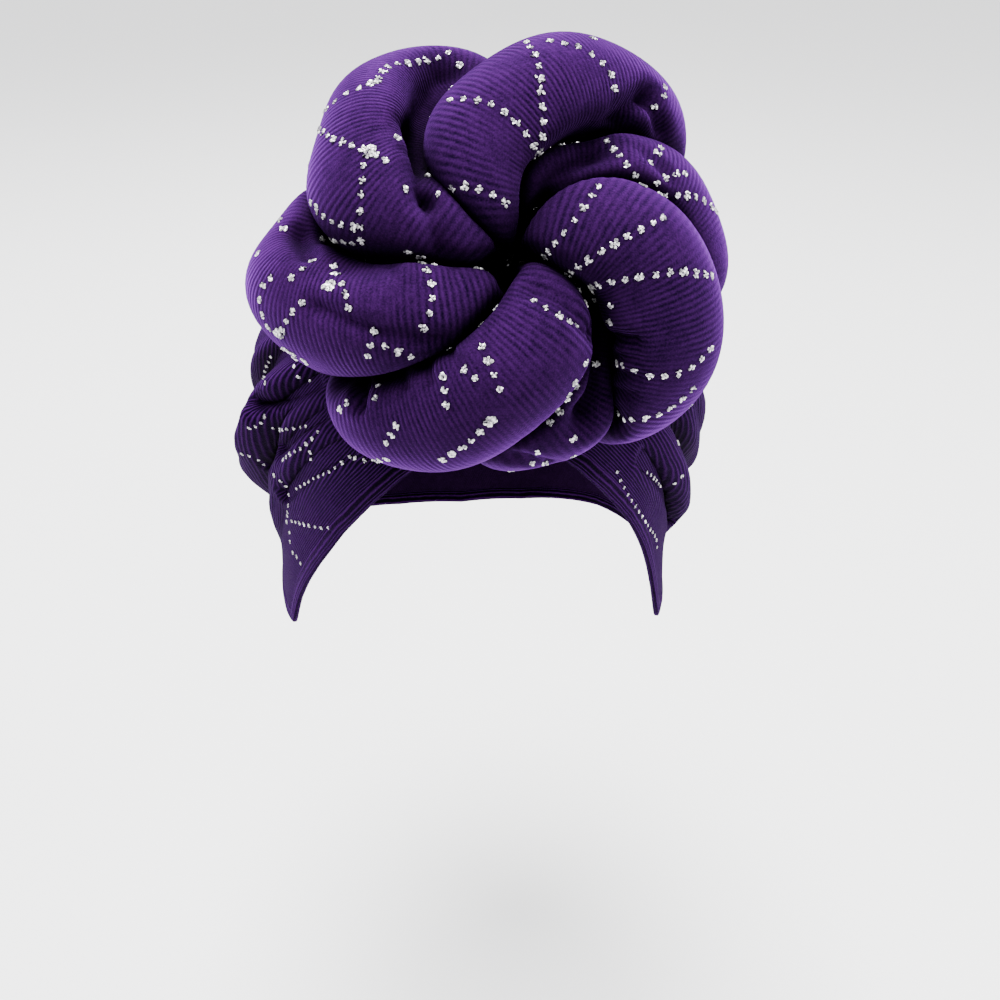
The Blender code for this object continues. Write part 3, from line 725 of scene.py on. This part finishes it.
def dots_mesh(name, places, normals, radii):
    """One mesh of all the dots: each is a few thin rough chips of glitter, heaped and tilted."""
    random = np.random.default_rng(21)
    points, faces = [], []
    for place, normal, radius in zip(places, normals, radii):
        side = unit(np.cross(normal, random.normal(size=3)))
        other = np.cross(normal, side)
        stretch = random.uniform(0.75, 1.2)
        count = int(random.integers(4, 6)) if radius < BIG_DOT_RADIUS * 0.8 else 8
        first = random.uniform(0.0, 2.0 * math.pi)
        chips = [(0.0, 0.0, random.uniform(0.30, 0.45))]
        for k in range(count):
            turn = first + 2.0 * math.pi * (k + random.uniform(-0.3, 0.3)) / count
            reach = random.uniform(0.45, 0.68)
            share = random.uniform(0.34, 0.52) * (1.0 if count < 8 else 0.8)
            chips.append((math.cos(turn) * reach, math.sin(turn) * reach, share))
        for across, over, share in chips:
            size = radius * share
            middle = place + (side * across * stretch + other * over / stretch) * radius
            lean = unit(normal + random.normal(size=3) * 0.30)
            along = unit(np.cross(lean, random.normal(size=3)))
            beside = np.cross(lean, along)
            top = len(points)
            points.append(middle + normal * random.uniform(0.00028, 0.00048))
            for k in range(CHIP_CORNERS):
                turn = 2.0 * math.pi * (k + random.uniform(-0.3, 0.3)) / CHIP_CORNERS
                reach = size * random.uniform(0.7, 1.15)
                around = along * math.cos(turn) + beside * math.sin(turn)
                points.append(middle + around * reach + normal * random.uniform(0.00010, 0.00030))
                points.append(middle + around * reach * 1.05 - normal * 0.0002)
            for k in range(CHIP_CORNERS):
                a, b = top + 1 + 2 * k, top + 1 + 2 * ((k + 1) % CHIP_CORNERS)
                faces += [(top, a, b), (a, a + 1, b + 1, b)]
    mesh = bpy.data.meshes.new(name)
    mesh.from_pydata([tuple(p) for p in points], [], faces)
    made = bpy.data.objects.new(name, mesh)
    bpy.context.scene.collection.objects.link(made)
    return made


def camera_axes():
    """The photograph's eye and its ways to the right, up and forward."""
    azimuth, level = CAMERA_AZIMUTH, math.cos(CAMERA_ELEVATION)
    back = np.array([math.sin(azimuth) * level, -math.cos(azimuth) * level, math.sin(CAMERA_ELEVATION)])
    right = np.array([math.cos(azimuth), math.sin(azimuth), 0.0])
    return CAMERA_TARGET + back * CAMERA_DISTANCE, right, np.cross(right, -back), -back


def curve_through(points, steps):
    """A smooth curve through a few points."""
    points = np.array(points, float)
    if len(points) == 2:
        return points[0] + (points[1] - points[0]) * np.linspace(0.0, 1.0, steps)[:, None]
    padded = np.concatenate([[2 * points[0] - points[1]], points, [2 * points[-1] - points[-2]]])
    place = np.linspace(0.0, len(points) - 1.0001, steps)
    base = place.astype(int)
    t = (place - base)[:, None]
    p0, p1, p2, p3 = (padded[base + k] for k in range(4))
    square, cube = 2 * p0 - 5 * p1 + 4 * p2 - p3, 3 * p1 - 3 * p2 + p3 - p0
    return 0.5 * (2 * p1 + (p2 - p0) * t + square * t**2 + cube * t**3)


class Cloth:
    """Cloth pieces as the photograph's camera sees them, with a search tree over each."""

    def __init__(self, grids):
        self.names, self.trees = list(grids), []
        for name in grids:
            mesh = grids[name].data
            vertices = [v.co for v in mesh.vertices]
            self.trees.append(BVHTree.FromPolygons(vertices, [tuple(p.vertices) for p in mesh.polygons]))
        self.eye, self.right, self.up, self.forward = camera_axes()

    def cast(self, origin, direction):
        best = None
        for name, tree in zip(self.names, self.trees):
            place, normal, _, length = tree.ray_cast(Vector(origin), Vector(direction))
            if place is not None and (best is None or length < best[3]):
                best = (name, np.array(place), np.array(normal), length)
        return best

    def at_picture(self, x, y):
        across, over = (x - PICTURE_X) / CAMERA_FOCUS, -(y - PICTURE_Y) / CAMERA_FOCUS
        return self.cast(self.eye, unit(self.forward + self.right * across + self.up * over))

    def seen(self, place, normal):
        toward = unit(self.eye - place)
        if normal @ toward < FACING_AWAY:
            return False
        return self.cast(place + normal * SIGHT_LIFT, toward) is None


def charted_dots(cloth):
    """The dots of the arcs that the photograph shows, set on the cloth where the photograph has them."""
    random = np.random.default_rng(3)
    found = []
    for arc in ARCS:
        hits = [cloth.at_picture(x, y) for x, y in curve_through(arc, 160)]
        last = None
        for hit in hits:
            if hit is None:
                last = None
                continue
            if last is not None and np.linalg.norm(hit[1] - last) < DOT_PITCH * random.uniform(0.92, 1.08):
                continue
            if last is not None and np.linalg.norm(hit[1] - last) > ARC_JUMP:
                last = hit[1]
                continue
            last = hit[1]
            size = CAP_DOT_SHARE if hit[0] == "cap" else 1.0
            found.append((hit[0], hit[1], hit[2], size * DOT_RADIUS * random.uniform(0.78, 1.12)))
    for dots, radius in ((SINGLE_DOTS, DOT_RADIUS), (BIG_DOTS, BIG_DOT_RADIUS)):
        for x, y in dots:
            hit = cloth.at_picture(x, y)
            if hit is not None:
                found.append((hit[0], hit[1], hit[2], radius * random.uniform(0.9, 1.1)))
    return found


def web_lines(width, length, seed):
    """Arcs that cross each other over a strip of cloth: whether each runs along, its offset and its way."""
    random = np.random.default_rng(seed)
    lines = []
    for first, second in ((width, length), (length, width)):
        count = max(int(first / WEB_SPACING), 2)
        for k in range(count):
            start = (k + 0.5 + random.uniform(-0.2, 0.2)) * first / count
            place = np.arange(0.0, second, WEB_STEP)
            sway = 0.007 * np.sin(2.0 * math.pi * (place / random.uniform(0.07, 0.13) + random.uniform()))
            lean = random.uniform(-0.16, 0.16) * (place - 0.5 * second)
            lines.append((first == width, start + sway + np.clip(lean, -0.03, 0.03), place))
            # One draw is passed over here, so that each arc keeps its place.
            random.uniform()
    return lines


def spread_dots(name, grid, wrap, seed):
    """Dots of the arcs that the photograph doesn't show, on a grid of cloth points."""
    random = np.random.default_rng(seed + 50)
    rows, columns = grid.shape[:2]
    normals = outward_normals(grid, wrap)
    long_way = np.linalg.norm(np.diff(grid[:, columns // 2], axis=0), axis=1).sum()
    wide_way = np.linalg.norm(np.diff(grid[rows // 2], axis=0), axis=1).sum()
    found = []
    for runs_along, aside, place in web_lines(wide_way, long_way, seed):
        across, along = (aside, place) if runs_along else (place, aside)
        across, along = across / wide_way, along / long_way
        if wrap:
            across = across % 1.0
        inside = (across >= 0.0) & (across <= 1.0) & (along >= 0.0) & (along <= 1.0)
        i = np.clip(along * (rows - 1), 0, rows - 1).round().astype(int)
        j = np.clip(across * (columns - 1), 0, columns - 1).round().astype(int)
        points = grid[i, j]
        last = None
        gap = 0
        for is_inside, point, row, column in zip(inside, points, i, j):
            if not is_inside or row < 3 or row > rows - 4:
                continue
            if last is not None and np.linalg.norm(point - last) < DOT_PITCH * random.uniform(0.95, 1.1):
                continue
            last = point
            gap = gap - 1 if gap > 0 else (random.integers(4, 9) if random.uniform() < 0.04 else 0)
            if gap > 0:
                continue
            others = np.array([dot[1] for dot in found])
            if found and np.linalg.norm(others - point, axis=1).min() < DOT_CLEARANCE:
                continue
            size = 1.0 if wrap else CAP_DOT_SHARE
            found.append((name, point, normals[row, column], size * DOT_RADIUS * random.uniform(0.78, 1.12)))
    return found


def hem_rings(loop, outward):
    """The turned hem as a soft rounded band round the cap's rim. Returns points and UVs."""
    tangent = unit(np.roll(loop, -1, axis=0) - np.roll(loop, 1, axis=0))
    onward = unit(np.cross(outward, tangent))
    turn = np.linspace(0.0, 2.0 * math.pi, HEM_SIDES, endpoint=False)
    boxy_cos = np.sign(np.cos(turn)) * np.abs(np.cos(turn)) ** HEM_SQUARENESS
    boxy_sin = np.sign(np.sin(turn)) * np.abs(np.sin(turn)) ** HEM_SQUARENESS
    across = -HEM_OVERLAP + 0.5 * HEM_WIDTH * (1.0 + boxy_cos)
    over = -HEM_SINK + 0.5 * HEM_THICKNESS * (1.0 + boxy_sin)
    ring = loop[:, None] + onward[:, None] * across[None, :, None] + outward[:, None] * over[None, :, None]
    ring = np.concatenate([ring, ring[:1]])
    way = np.concatenate([[0.0], np.cumsum(np.linalg.norm(np.diff(ring[:, 0], axis=0), axis=1))])
    round_hem = np.cumsum(np.linalg.norm(np.diff(np.concatenate([ring[0], ring[0][:1]]), axis=0), axis=1))
    uv = np.stack(np.broadcast_arrays(round_hem[None, :], way[:, None]), axis=-1)
    return ring, uv


def aim(name, data, place, way):
    """A light or a camera at a place, turned along a way."""
    made = bpy.data.objects.new(name, data)
    bpy.context.scene.collection.objects.link(made)
    made.location = place
    made.rotation_mode = "QUATERNION"
    made.rotation_quaternion = Vector(way).to_track_quat("-Z", "Y")
    return made


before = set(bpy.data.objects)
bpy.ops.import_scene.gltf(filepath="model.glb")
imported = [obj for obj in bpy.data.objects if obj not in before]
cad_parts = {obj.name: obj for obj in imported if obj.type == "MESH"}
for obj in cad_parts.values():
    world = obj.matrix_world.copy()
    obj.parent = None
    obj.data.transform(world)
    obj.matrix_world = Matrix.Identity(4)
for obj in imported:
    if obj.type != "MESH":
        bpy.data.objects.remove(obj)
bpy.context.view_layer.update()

# The materials.
knit_look = velvet(
    dark=(0.006, 0.001, 0.011), light=(0.022, 0.005, 0.038),
    rib_pitch=KNIT_RIB_PITCH, rib_depth=0.0001, rib_tone=0.2, sheen=0.2,
)
cap_look = velvet(
    dark=(0.0010, 0.0002, 0.0052), light=(0.038, 0.0048, 0.074),
    rib_pitch=CAP_RIB_PITCH, rib_depth=0.00045, rib_tone=1.0, sheen=0.16, crushing=0.1, thinness=2.0,
)
roll_look = velvet(
    dark=(0.0013, 0.0003, 0.0060), light=(0.033, 0.0050, 0.061),
    rib_pitch=ROLL_RIB_PITCH, rib_depth=0.00022, rib_tone=0.46, sheen=0.70,
)
hem_look = velvet(
    dark=(0.0003, 0.0001, 0.0014), light=(0.036, 0.0046, 0.070),
    rib_pitch=HEM_RIB_PITCH, rib_depth=0.00045, rib_tone=1.1, sheen=0.25, crushing=0.1, thinness=2.0,
)
knit = material("knit_backing", (0.02, 0.004, 0.035), knit_look)
cap_velvet = material("cap_velvet", (0.03, 0.005, 0.06), cap_look)
roll_velvet = material("roll_velvet", (0.03, 0.005, 0.06), roll_look)
hem_velvet = material("hem_velvet", (0.025, 0.004, 0.05), hem_look)
silver = material("silver_glitter", (0.8, 0.8, 0.8), glitter)

# The cap.
cap_points, cap_uv = cap_grid(CAP_COLUMNS, CAP_ROWS)
cap = grid_mesh("cap_cloth", cap_points, cap_uv)
shell = cap_points + outward_normals(cap_points, False) * CLOTH
cap.data.materials.append(cap_velvet)
cap.data.materials.append(knit)
thicken = cap.modifiers.new("cloth", "SOLIDIFY")
thicken.thickness = CLOTH
thicken.offset = 1.0
thicken.material_offset = 1
thicken.material_offset_rim = 0
thicken.use_even_offset = False

# The knot's rolls.
rings, roll_centres, roll_rays = roll_rings()
count = len(rings)
plain = np.concatenate([rings, rings[:1]])
first_try = grid_mesh("first_try", plain, np.zeros((*plain.shape[:2], 2)), wrap_columns=True)
pressed = crease_depths(rings, Cloth({"rolls": first_try}), near_roll_lobe)
rings = rings - roll_rays * np.minimum(pressed, DEEPEST_CREASE)[..., None]
bpy.data.objects.remove(first_try, do_unlink=True)
step = np.linalg.norm(np.roll(roll_centres, -1, axis=0) - roll_centres, axis=1)
way = np.concatenate([[0.0], np.cumsum(step)])
round_roll = 2.0 * math.pi * ROLL_RADIUS * np.arange(ROLL_SIDES) / ROLL_SIDES
rolls = {}
for name, start, end in (
    ("knot_roll_long", ROLL_JOINS[0], ROLL_JOINS[1]),
    ("knot_roll_short", ROLL_JOINS[1], ROLL_JOINS[0] + len(LOBES)),
):
    picked = np.arange(int(start * LOBE_SECTIONS), int(end * LOBE_SECTIONS) + 1)
    along = way[picked % count] + way[-1] * (picked // count)
    uv = np.stack(np.broadcast_arrays(along[:, None], round_roll[None, :]), axis=-1)
    piece = grid_mesh(name + "_cover", rings[picked % count], uv, wrap_columns=True, cap_ends=True)
    piece.data.materials.append(roll_velvet)
    rolls[name] = (piece, rings[picked % count])

# The hem.
loop = np.concatenate([cap_points[0], cap_points[1:-1, -1], cap_points[-1][::-1]])
hem_grid, hem_uv = hem_rings(loop, unit(head_slope(loop)))
hem = grid_mesh("hem_band", hem_grid, hem_uv, wrap_columns=True)
hem.data.materials.append(hem_velvet)

# The glitter.
shell_mesh = grid_mesh("shell_for_dots", shell, cap_uv)
cloth = Cloth({"cap": shell_mesh, **{name: piece for name, (piece, _) in rolls.items()}})
dots = charted_dots(cloth)
hidden = spread_dots("cap", np.swapaxes(shell, 0, 1), wrap=False, seed=1)
for name, seed in (("knot_roll_long", 2), ("knot_roll_short", 3)):
    hidden += spread_dots(name, rolls[name][1], wrap=True, seed=seed)
dots += [dot for dot in hidden if not cloth.seen(dot[1], dot[2])]
bpy.data.objects.remove(shell_mesh, do_unlink=True)
glitter_pieces = {}
for name in cloth.names:
    mine = [dot for dot in dots if dot[0] == name]
    piece = dots_mesh(name + "_glitter", *[[dot[k] for dot in mine] for k in (1, 2, 3)])
    piece.data.materials.append(silver)
    glitter_pieces[name] = piece

# What each piece stands for and rides on.
for piece, stands_for, slot in (
    (cap, "cap", "cap_velvet"),
    (hem, "hem", "hem_velvet"),
    (rolls["knot_roll_long"][0], "knot_roll_long", "roll_velvet"),
    (rolls["knot_roll_short"][0], "knot_roll_short", "roll_velvet"),
):
    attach(piece, "root")
    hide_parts(stands_for)
for name, piece in glitter_pieces.items():
    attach(piece, "root")

# The floor, the light and the camera.
bpy.ops.mesh.primitive_plane_add(size=FLOOR_SIZE, location=FLOOR_PLACE)
floor = bpy.context.object
floor.name = "floor"
floor.data.materials.append(material("pale_floor", (0.93, 0.93, 0.935), plain_floor))

world = bpy.data.worlds.new("studio")
world.use_nodes = True
world.node_tree.nodes["Background"].inputs["Color"].default_value = SKY_COLOUR
world.node_tree.nodes["Background"].inputs["Strength"].default_value = SKY_STRENGTH
bpy.context.scene.world = world

for name, light_place, target, power, size in AREA_LIGHTS:
    area_light = bpy.data.lights.new(name, "AREA")
    area_light.energy, area_light.shape, area_light.size = power, "DISK", size
    aim(name, area_light, light_place, Vector(target) - Vector(light_place))

sunlight = bpy.data.lights.new("sky", "SUN")
sunlight.energy, sunlight.angle = SUN_STRENGTH, SUN_ANGLE
aim("sky", sunlight, (0.0, 0.0, 0.0), SUN_WAY)

lens = bpy.data.cameras.new("photograph")
lens.sensor_fit = "HORIZONTAL"
lens.sensor_width = SENSOR_WIDTH
lens.lens = CAMERA_FOCUS / PICTURE * SENSOR_WIDTH
lens.shift_x = -(PICTURE_X - 0.5 * PICTURE) / PICTURE
lens.shift_y = (PICTURE_Y - 0.5 * PICTURE) / PICTURE
lens.clip_start = 0.01
bpy.context.scene.camera = aim("photograph", lens, cloth.eye, cloth.forward)
